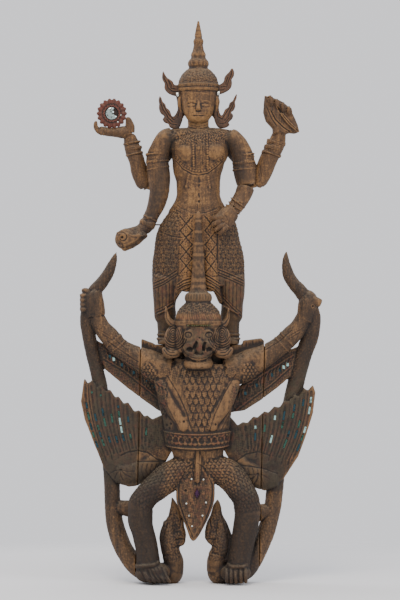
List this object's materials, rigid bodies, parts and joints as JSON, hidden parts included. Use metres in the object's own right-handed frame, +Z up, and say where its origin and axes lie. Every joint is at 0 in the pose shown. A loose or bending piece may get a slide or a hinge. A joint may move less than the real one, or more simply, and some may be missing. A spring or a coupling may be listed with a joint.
{
  "type": "garuda figure",
  "caption": "Standing carved wooden group: a crowned many-armed deity on the shoulders of a winged garuda gripping two serpents.",
  "frame": {"origin": "on the floor, under the middle of the figure's bounding box", "axes": "+Z up the figure, -Y the front that the figures face, +X to the viewer's right seen from the front"},
  "size_m": [0.7756, 0.2214, 1.8009],
  "materials": {
    "grey_teak": "weathered, oiled by age, dusty in the recesses",
    "dark_teak": "weathered, dark",
    "red_lacquer": "worn red lacquer on carved wood",
    "mirror_glass": "old greenish mirror glass, chipped"
  },
  "bodies": {
    "root": {"deity_body": "grey_teak", "ear_flame_left": "dark_teak", "ear_flame_right": "dark_teak", "discus_forearm": "grey_teak", "conch_forearm": "grey_teak", "hip_forearm": "grey_teak", "discus": "red_lacquer", "discus_mirror": "mirror_glass", "wrist_peg": "dark_teak", "garuda_centre": "grey_teak", "garuda_side_left": "grey_teak", "garuda_side_right": "grey_teak"}
  },
  "joints": []
}
